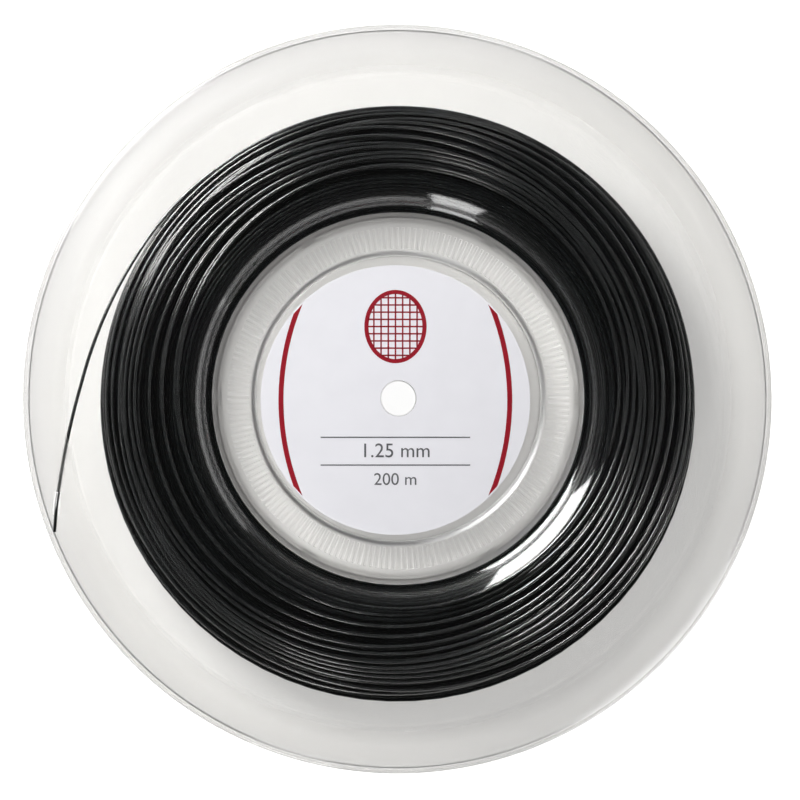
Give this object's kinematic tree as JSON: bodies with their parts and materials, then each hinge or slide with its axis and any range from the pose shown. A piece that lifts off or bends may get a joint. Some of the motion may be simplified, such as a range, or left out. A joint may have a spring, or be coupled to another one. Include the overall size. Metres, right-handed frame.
{
  "type": "string reel",
  "caption": "Flat clear plastic reel of wound black racket string, with a recessed hub, a round label, a spindle bore and rims that turn in to hold the string.",
  "frame": {"origin": "centre of the rear flange's outer face, which the reel rests on", "axes": "+Z along the reel's axis, out of the front face with the label; +Y up the label"},
  "size_m": [0.27, 0.27, 0.022],
  "materials": {
    "clear_plastic": "clear gloss",
    "label": "satin coated paper",
    "string": "smooth black gloss"
  },
  "bodies": {
    "root": {"rear_half": "clear_plastic", "front_half": "clear_plastic", "front_label": "label", "winding_core": "string", "string_winding": "string", "string_tail": "string"}
  },
  "joints": []
}
